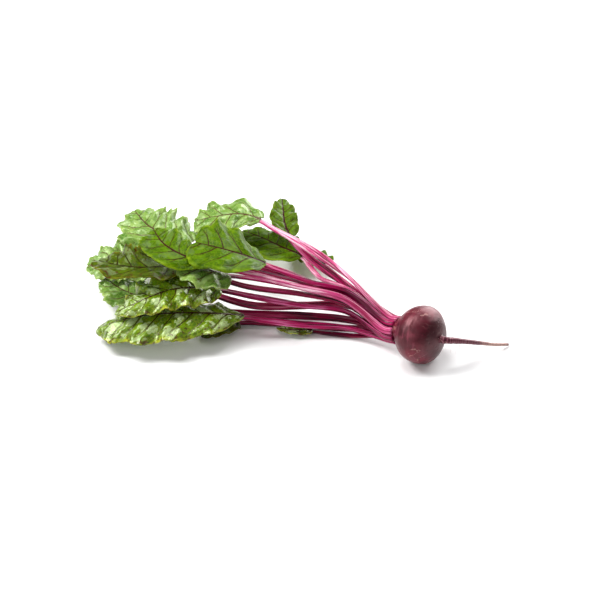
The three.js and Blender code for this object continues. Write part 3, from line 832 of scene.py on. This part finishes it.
# %% The leaves as measured
LEAF_TABLE = [
    dict(name="front", upper="yellow", flesh="rose", seat=(9.8, -60), girth=1.15,
         stalk=[(-87, 5, 15), (-132, -13, 18), (-165, -30, 23)],
         blade=[(-187, -42, 28), (-217, -62, 34), (-250, -82, 37),
                (-278, -97, 35), (-302, -107, 28), (-328, -110, 13)],
         width=37, heel=0.006, broadest=0.49, fold=(-3, 6), curl=(-40, -30),
         waves=5, ruffle=4, phase=0.1),
    dict(name="lowest", upper="dark", flesh="deep", seat=(9.8, -145),
         stalk=[(-89, 12, 7), (-138, 0, 7), (-177, -14, 6)],
         blade=[(-203, -26, 6), (-212, -41, 8), (-220, -55, 6), (-226, -65, 3)],
         width=16, broadest=0.3, fold=(8, 8), curl=(-20, -20), ruffle=1.5, phase=0.4),
    dict(name="pale", upper="mint", flesh="deep", seat=(4.6, -132), girth=1.1,
         stalk=[(-91, 14, 17), (-138, 0, 18), (-200, -22, 18)],
         blade=[(-271, -44, 19), (-302, -48, 20), (-335, -43, 20), (-368, -28, 18)],
         width=29, broadest=0.36, fold=(8, 8), curl=(-16, -16), roll=(4, -6), ruffle=4, phase=0.7),
    dict(name="crinkled", upper="yellow", flesh="rose", seat=(9.8, -20), girth=1.15,
         stalk=[(-93, 18, 27), (-139, 4, 31), (-189, -17, 40)],
         blade=[(-220, -34, 49), (-243, -53, 54), (-260, -71, 57),
                (-275, -88, 54), (-290, -100, 47), (-307, -106, 36)],
         width=29, broadest=0.34, fold=(4, 14), curl=(-30, -24),
         roll=(0, -4), waves=6, ruffle=4.5, phase=0.2),
    dict(name="olive", upper="dark", flesh="deep", seat=(4.6, -60), girth=0.95,
         stalk=[(-92, 17, 36), (-142, 9, 41), (-200, -9, 45)],
         blade=[(-269, -18, 54), (-283, -39, 62), (-300, -58, 67),
                (-325, -63, 66), (-358, -53, 58)],
         width=36, broadest=0.36, fold=(24, 22), curl=(-26, -22), ruffle=3.5, phase=0.5),
    # The middle leaf has the pale finish, a lighter copy that lifts it out of the shade of the bright
    # leaf: painted light.
    dict(name="middle", upper="mint", flesh="rose", seat=(4.6, 12), girth=0.9,
         stalk=[(-93, 19, 41), (-143, 10, 48), (-188, -7, 56)],
         blade=[(-213, -27, 65), (-228, -38, 71), (-243, -45, 75), (-260, -46, 76)],
         width=29, heel=0.02, broadest=0.34, fold=(4, 8), curl=(-26, -20), ruffle=3, phase=0.1),
    dict(name="pointed", upper="fresh", flesh="pale", seat=(9.8, 20), girth=1.1,
         stalk=[(-91, 13, 44), (-139, 2, 55), (-194, -18, 69)],
         blade=[(-225, -34, 77), (-242, -43, 84), (-260, -47, 89),
                (-283, -39, 91), (-311, -12, 87)],
         width=24, broadest=0.5, fold=(9, 10), curl=(-30, -18),
         roll=(-4, -10), waves=3, ruffle=4, phase=0.9),
    dict(name="bright", upper="fresh", flesh="rose", seat=(9.8, 60), girth=1.05,
         stalk=[(-94, 20, 49), (-130, 9, 60), (-157, 2, 68)],
         blade=[(-178, -6, 76), (-196, -18, 87), (-221, -26, 94), (-250, -28, 95)],
         width=37, heel=0.02, broadest=0.54, fold=(12, 14), curl=(-20, -22),
         roll=(-6, -14), ruffle=2.5, phase=0.3),
    dict(name="upper", upper="mint", flesh="pale", seat=(9.8, 95),
         stalk=[(-100, 33, 54), (-172, 75, 57), (-217, 90, 61)],
         blade=[(-234, 95, 63), (-259, 94, 64), (-283, 80, 62), (-305, 72, 55)],
         width=30, heel=0.03, broadest=0.48, fold=(2, 10), curl=(-30, -18), ruffle=4, phase=0.6),
    dict(name="small", upper="mature", flesh="rose", seat=(9.8, 135),
         stalk=[(-99, 32, 45), (-158, 70, 44), (-188, 93, 43)],
         blade=[(-201, 104, 44), (-216, 122, 47), (-228, 143, 50), (-242, 169, 49)],
         width=16, heel=0.03, broadest=0.36, fold=(12, 12), curl=(-10, -10),
         roll=(0, 8), ruffle=2.5, phase=0.2),
    dict(name="back", upper="mint", flesh="deep", seat=(4.6, 156),
         stalk=[(-101, 36, 25), (-159, 45, 29), (-220, 44, 32), (-270, 44, 36)],
         blade=[(-298, 40, 41), (-326, 36, 51), (-350, 43, 53), (-385, 72, 49)],
         width=38, heel=0.03, broadest=0.3, fold=(14, 14), curl=(-30, -30),
         roll=(-10, -10), waves=5, ruffle=4.5, phase=0.8),
    dict(name="tucked", upper="mature", flesh="rose", seat=(9.8, 172), girth=0.9,
         stalk=[(-85, 40, 31), (-123, 73, 25)],
         blade=[(-158, 104, 18), (-183, 122, 12), (-201, 130, 6), (-209, 126, 2)],
         width=17, broadest=0.3, fold=(10, 10), curl=(-20, -20), ruffle=2.5, phase=0.2),
    dict(name="outer", upper="mint", flesh="deep", seat=(-2.2, 180),
         stalk=[(-96, 25, 25), (-144, 14, 19), (-196, -4, 17), (-257, -6, 24)],
         blade=[(-308, 8, 33), (-338, -1, 35), (-364, -13, 35), (-391, -25, 27)],
         width=34, heel=0.02, broadest=0.4, fold=(4, 14), curl=(-24, -24),
         roll=(-4, -4), waves=5, ruffle=4, phase=0.35),
    dict(name="inner", upper="fresh", flesh="pale", seat=(4.6, 84), girth=0.9,
         stalk=[(-91, 28, 43), (-137, 51, 38), (-161, 72, 34)],
         blade=[(-179, 90, 31), (-209, 99, 30), (-240, 111, 28), (-269, 120, 25)],
         width=26, heel=0.015, broadest=0.4, fold=(7, 6), curl=(-20, -20),
         roll=(-6, -6), ruffle=2.5, phase=0.65),
    dict(name="withered", upper="yellow", flesh="deep", seat=(9.8, -100), girth=0.7,
         stalk=[(-78, 5, 6), (-107, -2, 5)],
         blade=[(-123, -6, 5), (-140, -15, 6), (-160, -17, 4)],
         width=9, broadest=0.3, fold=(10, 10), curl=(-20, -20), ruffle=1.2, phase=0.65),
]
print(len(LEAF_TABLE), "leaves, up to", max(entry["width"] for entry in LEAF_TABLE), "mm to a side")

# %% [markdown]
# ## How a leaf lies in space
#
# A leaf is a ribbon that follows its line. At each distance there is a direction forward, one to
# its near side and one out of its upper face, turned by the roll. Across that ribbon, a blade
# leaves the midrib at the fold angle, bends by the curl, and waves at its margin. Finer forms come
# on top: the green is puffed up between the side veins, the margin is nibbled and crimped. They are
# moved points rather than relief in the finish, so they also show at the outline.

# %% Leaf geometry
JOINT_GAP, BLADE_THICKNESS = 0.45, 0.8
STALK_HALF_WIDTH, STALK_DEPTH = 3.8, 4.4
STRAIGHT_FOOT = 11.0
TAPER_AT_BLADE, TAPER_AT_END = 0.82, 0.2
MIDDLE_SWELL, SWELL_START = 0.3, 40.0
MIDRIB_END, MIDRIB_NARROWING, NARROWING_LENGTH = 0.86, 0.7, 22.0
TIP_SHARE, BLUNTNESS = 0.985, 0.8
SMALL_VEIN_STEP, LARGE_VEIN_STEP, LARGE_WIDTH = 9, 19, 40
BLISTERS = {"fresh": 0.5, "mature": 0.65, "dark": 0.75, "yellow": 1.1, "mint": 1.15}
FRAYED, WHOLE = 0.16, 0.03


class Leaf:
    """One leaf: its line, the directions along it, and the place of each point of its blade."""

    girth, heel, roll, waves = 1.0, 0.01, (0, 0), 4

    def __init__(self, seat, stalk, blade, broadest, **measures):
        vars(self).update(measures)
        self.skew = log(0.5) / log(broadest)
        ring, angle = seat
        start = on_axis(-NECK_REACH - JOINT_GAP)
        start += NEAR_SIDE * (ring * cos(radians(angle))) + TOP_SIDE * (ring * sin(radians(angle)))
        points = [start, start - AXIS * STRAIGHT_FOOT, *map(Vector, stalk), *map(Vector, blade)]
        self.line = Line(points)
        self.base = self.line.distance_to(2 + len(stalk))
        self.blade_length = self.line.length - self.base
        self.seat_roll = angle + 90 if angle <= 90 else angle - 270
        self.frayed = FRAYED if self.upper == "mint" else WHOLE
        self.vein_step = mix(SMALL_VEIN_STEP, LARGE_VEIN_STEP, clamp01(self.width / LARGE_WIDTH))

    def frame(self, distance):
        """Directions along the leaf, to its near side and out of its upper face."""
        along = self.line.tangent(distance)
        level = UP.cross(along).normalized()
        above = along.cross(level)
        if distance < self.base:
            roll = mix(self.seat_roll, self.roll[0], ease(distance / self.base))
        else:
            roll = mix(self.roll[0], self.roll[1], ease((distance - self.base) / self.blade_length))
        c, s = cos(radians(roll)), sin(radians(roll))
        return along, level * c + above * s, above * c - level * s

    def outline(self, share):
        """Half the width of the blade, without its waves."""
        return self.width * sin(pi * mix(self.heel, TIP_SHARE, share) ** self.skew) ** BLUNTNESS

    def vein_count(self, share, out, half, width, swept):
        """How many side veins lie between the base and a point: a vein leaves the midrib at about
        45 degrees and curves on towards the tip."""
        along = share * self.blade_length + swept
        seed = Vector((along / 30, out * 1.5, 7 * half + 11 * self.phase))
        leaned = along - width * out * (0.65 + 0.3 * out)
        return leaned / self.vein_step + 0.45 * half + 0.22 * noise.noise(seed)

    def blister(self, spot, count, out, width):
        """The green swells between the veins and is held down along them and at the margin."""
        arch = sin(pi * count) ** 2
        fade = min(1.0, out * 4) * min(1.0, (1 - out) * 3) * min(1.0, width / 16)
        swell = noise.noise(spot / 11) + 0.7 * noise.noise(spot / 5)
        return BLISTERS[self.upper] * fade * (1.9 * arch - 0.8 + 1.7 * swell * mix(0.4, 1.0, arch))

    def blade_point(self, share, across):
        """A point of the blade, its vein count, its share of the way out, and the width there."""
        side, out = (-1 if across < 0 else 1), abs(across)
        half = 0 if side > 0 else 1
        beat = self.waves * share + self.phase + 0.37 * half
        seed = 13.0 * half + 37.0 * self.phase
        place = share * self.blade_length

        def uneven(step, row):
            return noise.noise(Vector((place / step, seed, row)))

        nibble = 0.07 * uneven(7, 0)
        nibble += self.frayed * (uneven(4, 1) + 0.6 * uneven(2, 2))
        nibble *= ease(out * 1.5 - 0.3)
        width = self.outline(share) * (1 + 0.05 * sin(2 * pi * (beat + 0.2)) + nibble)
        fold, curl = radians(self.fold[half]), radians(self.curl[half])
        outwards = (width / curl) * (sin(fold + curl * out) - sin(fold))
        upwards = (width / curl) * (cos(fold) - cos(fold + curl * out))
        swept = width * out * mix(-0.3, 0.75, share ** 0.8)
        calm = sin(pi * clamp01(0.08 + 0.9 * share))
        drift = uneven(22, 9)
        second = 0.3 * (1 - 0.6 * abs(drift)) * sin(2 * pi * (2.3 * beat + 0.4 + 0.5 * drift))
        wave = self.ruffle * out ** 1.7 * calm * (sin(2 * pi * beat) + second)
        crimp = uneven(4.5, 5) + 0.5 * uneven(2.1, 3)
        rise = wave + 0.5 * self.ruffle * out ** 5 * calm * crimp
        count = self.vein_count(share, out, half, width, swept)
        quilt = self.blister(Vector((place + swept, out * width, seed)), count, out, width)
        along, near, face = self.frame(self.base + place)
        tilt = fold + curl * out
        sideways = side * (outwards - rise * sin(tilt))
        point = self.line.at(self.base + place) + near * sideways + along * swept
        return point + face * (upwards + rise * cos(tilt) + quilt), count, out, width

    def stalk_size(self, distance):
        """Half the width and the depth of the stalk."""
        end = self.base + MIDRIB_END * self.blade_length
        if distance < self.base:
            taper = mix(1, TAPER_AT_BLADE, distance / self.base)
        else:
            share = (distance - self.base) / (end - self.base)
            taper = mix(TAPER_AT_BLADE, TAPER_AT_END, share ** 0.8)
        narrow = mix(1, MIDRIB_NARROWING, ease((distance - self.base) / NARROWING_LENGTH))
        swell_share = clamp01((distance - SWELL_START) / (self.base - SWELL_START))
        size = self.girth * taper * (1 + MIDDLE_SWELL * sin(pi * swell_share) ** 2)
        return STALK_HALF_WIDTH * size * narrow, STALK_DEPTH * size


print("a midrib ends at", MIDRIB_END, "of its blade")

# %% [markdown]
# ## Blades
#
# A blade is a flat grid of about one-millimetre cells that is laid on its line. The numbers that
# the finish needs are stored on its points. A Solidify modifier gives the sheet its thickness to
# both sides and puts the matt underside on the lower face, so no second sheet has to be modelled.

# %% Make a blade
CELL_LENGTH, CELL_WIDTH = 1.15, 1.3
RIB_WIDTH, RIB_WIDTH_AT_TIP = 1.7, 0.5


def make_blade(leaf):
    rows, columns = round(leaf.blade_length / CELL_LENGTH), 2 * round(leaf.width / CELL_WIDTH)
    size_cm = (leaf.blade_length / 10, 2 * leaf.width / 10)
    marks = {}

    def place(share, turn):
        point, count, out, width = leaf.blade_point(share, 2 * turn - 1)
        rib = out * width / mix(RIB_WIDTH, RIB_WIDTH_AT_TIP, share)
        marks[(round(share * rows), round(turn * columns))] = (count, out, rib)
        return point

    bm = shaped_grid(rows, columns, place, False, size_cm)
    layers = [bm.verts.layers.float.new(name) for name in ("vein", "edge", "rib")]
    uv = bm.loops.layers.uv["skin"]
    for face in bm.faces:
        for loop in face.loops:
            u, v = loop[uv].uv
            key = (round(u / size_cm[0] * rows), round(v / size_cm[1] * columns))
            for layer, value in zip(layers, marks[key]):
                loop.vert[layer] = value
    piece = finish_piece(bm, leaf.name + "_leaf", UPPER[leaf.upper], UNDER,
                         stands_for=leaf.name + "_blade", slot="leaf_green")
    wall = piece.modifiers.new("wall", "SOLIDIFY")
    wall.thickness, wall.offset = BLADE_THICKNESS * MM, 0
    wall.material_offset, wall.material_offset_rim = 1, 0
    return piece


print("blades are", BLADE_THICKNESS, "mm thick")

# %% [markdown]
# ## Stalks and midribs
#
# A stalk runs on under its blade as the midrib, so both are one tube. Its section has a groove
# above and a round back. Half of it is written down, from the bottom of the groove to the middle of
# the back, across in half widths and up in depths. The first two points lie in the groove and are
# measured in its depth, which fades before the blade begins. Eleven fine ribs run lengthwise.

# %% Make a stalk
GROOVE_POINTS = [(0.0, -1.0), (0.3, -0.45)]
BACK_POINTS = [(0.58, -0.02), (0.8, -0.05), (0.97, -0.3), (0.98, -0.5), (0.82, -0.8),
               (0.5, -0.98), (0.0, -1.02)]
GROOVE_DEPTH, GROOVE_FADE = 0.22, 12
STEP_LENGTH, SIDES, SECTION_MIDDLE = 2.5, 32, -0.5
RIBS, RIB_HEIGHT, WOBBLE = 11, 0.035, 0.05


def stalk_outline(groove):
    half = [(x, z * groove) for x, z in GROOVE_POINTS] + BACK_POINTS
    return [Vector((x, z, 0)) for x, z in half + [(-x, z) for x, z in half[-2:0:-1]]]


def on_outline(outline, turn_share):
    place = turn_share * len(outline)
    i = int(place)
    return between(*(outline[(i + k) % len(outline)] for k in (-1, 0, 1, 2)), place - i)


def make_stalk(leaf):
    end = leaf.base + MIDRIB_END * leaf.blade_length
    steps = round(end / STEP_LENGTH)
    drop = BLADE_THICKNESS / 2 + JOINT_GAP
    rings = []
    for i in range(steps + 1):
        distance = end * i / steps
        groove = GROOVE_DEPTH * (1 - ease((distance - leaf.base + GROOVE_FADE) / GROOVE_FADE))
        directions, size = leaf.frame(distance), leaf.stalk_size(distance)
        rings.append((leaf.line.at(distance), *directions, *size, stalk_outline(groove)))

    def place(share, turn):
        centre, along, near, face, half, depth, outline = rings[round(share * steps)]
        x, z, _ = on_outline(outline, turn)
        turned = 2 * pi * turn
        seed = Vector((share * end / 28, 0.8 * cos(turned), 0.8 * sin(turned) + leaf.phase * 50))
        ribs = RIB_HEIGHT * sin(2 * pi * RIBS * turn) * min(1.0, half / 2)
        grow = 1 + WOBBLE * noise.noise(seed) + ribs
        up = (SECTION_MIDDLE + (z - SECTION_MIDDLE) * grow) * depth - drop
        return centre + near * (x * half * grow) + face * up

    girth_cm = 2 * (STALK_HALF_WIDTH + STALK_DEPTH) * leaf.girth / 10
    bm = shaped_grid(steps, SIDES, place, True, (end / 10, girth_cm))
    return finish_piece(bm, leaf.name + "_stem", STALK_FINISHES[leaf.flesh],
                        stands_for=leaf.name + "_stalk", slot="stalk_flesh")


print("a stalk's section has", len(stalk_outline(GROOVE_DEPTH)), "points")

# %% [markdown]
# ## Grow every leaf
#
# With the table and the two makers, one short loop grows all fifteen leaves: first the stalk, then
# the blade that lies on it.

# %% Grow every leaf
for entry in LEAF_TABLE:
    leaf = Leaf(**entry)
    stem, blade = make_stalk(leaf), make_blade(leaf)
    print(leaf.name, "stem", len(stem.data.polygons), "blade", len(blade.data.polygons), "faces")

# %% [markdown]
